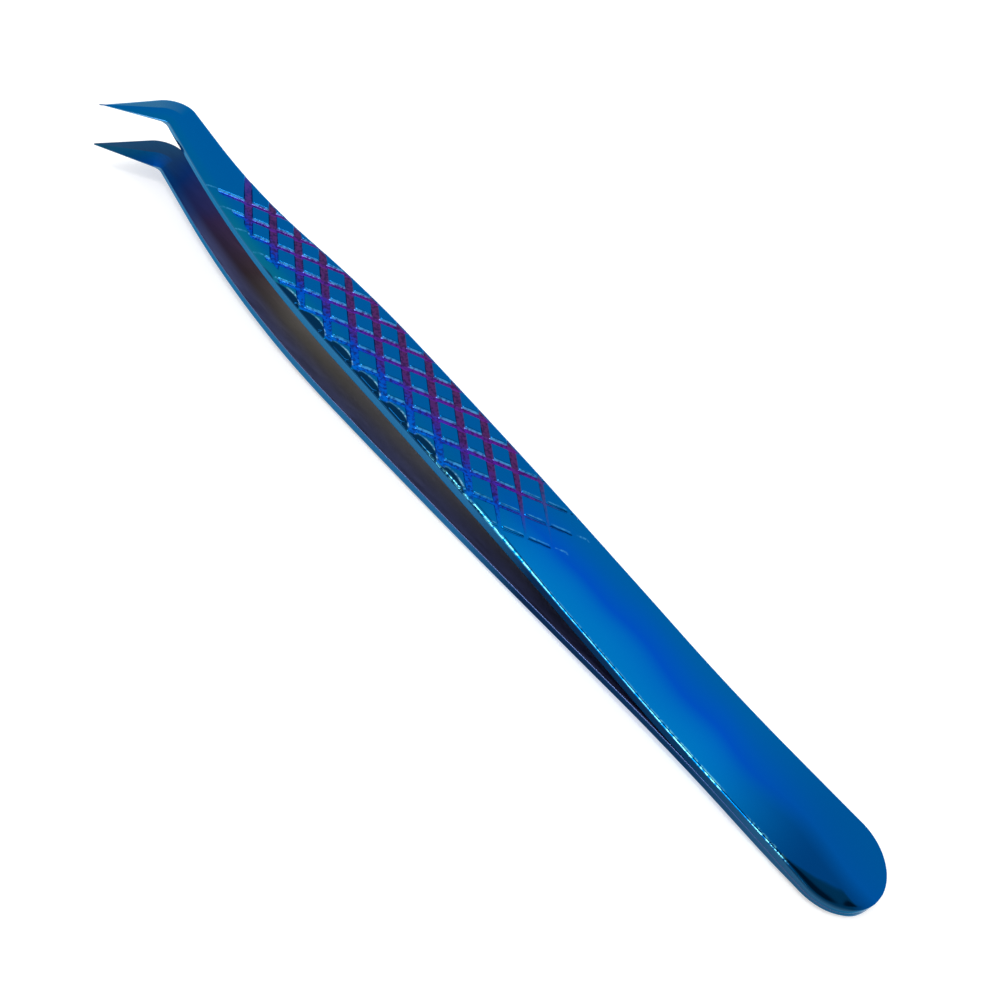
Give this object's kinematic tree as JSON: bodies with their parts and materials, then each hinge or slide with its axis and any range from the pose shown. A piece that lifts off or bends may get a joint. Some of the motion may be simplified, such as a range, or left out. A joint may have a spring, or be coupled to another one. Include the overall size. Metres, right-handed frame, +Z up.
{
  "type": "precision tweezers",
  "caption": "Spring-steel precision tweezers with a round welded tail, a diamond-cut grip on each arm and fine points bent to one side.",
  "frame": {"origin": "on the plane the tool lies on, under the middle of its length and width", "axes": "+X along the tool from the tail to the points, +Y across it to the side the points turn to, +Z up from the lower arm to the upper arm; the tool is tilted 2.27 degrees about Y as it lies on its tail end and lower belly"},
  "size_m": [0.1255, 0.0112, 0.0095],
  "materials": {
    "coated_steel": "stainless spring steel, polished, with a thin blue vapour-deposited coat that turns violet in the grip grooves and brown-black inside the arms",
    "weld_metal": "fused stainless steel of a spot weld, bare and hidden between the arms"
  },
  "bodies": {
    "tail": {"upper_arm_tail": "coated_steel", "lower_arm_tail": "coated_steel", "weld_nugget_rear": "weld_metal", "weld_nugget_front": "weld_metal"},
    "upper_arm": {"upper_arm_blade": "coated_steel"},
    "lower_arm": {"lower_arm_blade": "coated_steel"}
  },
  "joints": [
    {"name": "upper_arm_flex", "type": "hinge", "parent": "tail", "child": "upper_arm", "pos_m": [-0.02683, 0, 0.00353], "axis": [0, 1, 0], "range_deg": [0, 1.77], "stiffness_Nm_per_rad": 1.8},
    {"name": "lower_arm_flex", "type": "hinge", "parent": "tail", "child": "lower_arm", "pos_m": [-0.02673, 0, 0.00109], "axis": [0, 1, 0], "range_deg": [-1.77, 0], "stiffness_Nm_per_rad": 1.8}
  ],
  "couplings": [
    {"joint": "lower_arm_flex", "follows": "upper_arm_flex", "ratio": -1}
  ]
}
